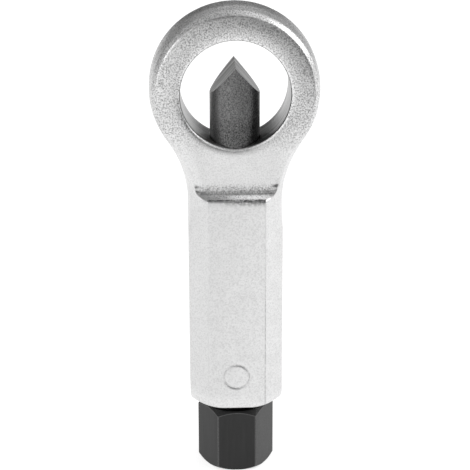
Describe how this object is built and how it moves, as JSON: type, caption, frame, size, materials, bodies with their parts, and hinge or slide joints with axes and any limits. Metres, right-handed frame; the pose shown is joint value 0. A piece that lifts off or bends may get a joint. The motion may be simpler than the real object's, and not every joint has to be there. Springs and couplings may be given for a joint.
{
  "type": "nut splitter",
  "caption": "Ring-type nut splitter: forged ring on an octagonal handle, with a wedge chisel that a hexagon-headed drive screw pushes across the ring to split a seized nut.",
  "frame": {"origin": "centre of the foot of the drive screw's hexagon, on which the tool stands", "axes": "+Z along the tool axis towards the ring, +Y along the axis of the ring's hole towards the back with the guide pin, +X to the right seen from the front"},
  "size_m": [0.0422, 0.0198, 0.1217],
  "materials": {
    "plated_forging": "shot-blasted forging with satin plating",
    "tool_steel": "hardened, dark, with ground faces at the edge",
    "black_oxide_steel": "turned and blackened",
    "bearing_steel": "polished",
    "spring_wire": "drawn wire",
    "dowel_steel": "ground"
  },
  "bodies": {
    "drive_screw": {"drive_screw": "black_oxide_steel", "thrust_ball": "bearing_steel"},
    "chisel": {"chisel": "tool_steel", "snap_ring": "spring_wire"},
    "frame": {"frame": "plated_forging", "guide_pin": "dowel_steel"}
  },
  "joints": [
    {"name": "screw_turn", "type": "hinge", "parent": "drive_screw", "child": "chisel", "pos_m": [0, 0, 0.0525], "axis": [0, 0, 1], "range_deg": [-361, 5041]},
    {"name": "chisel_slide", "type": "slide", "parent": "chisel", "child": "frame", "axis": [0, 0, 1], "range_m": [-0.0015, 0.021]}
  ],
  "couplings": [
    {"joint": "screw_turn", "follows": "chisel_slide", "rad_per_m": 4188.8}
  ]
}
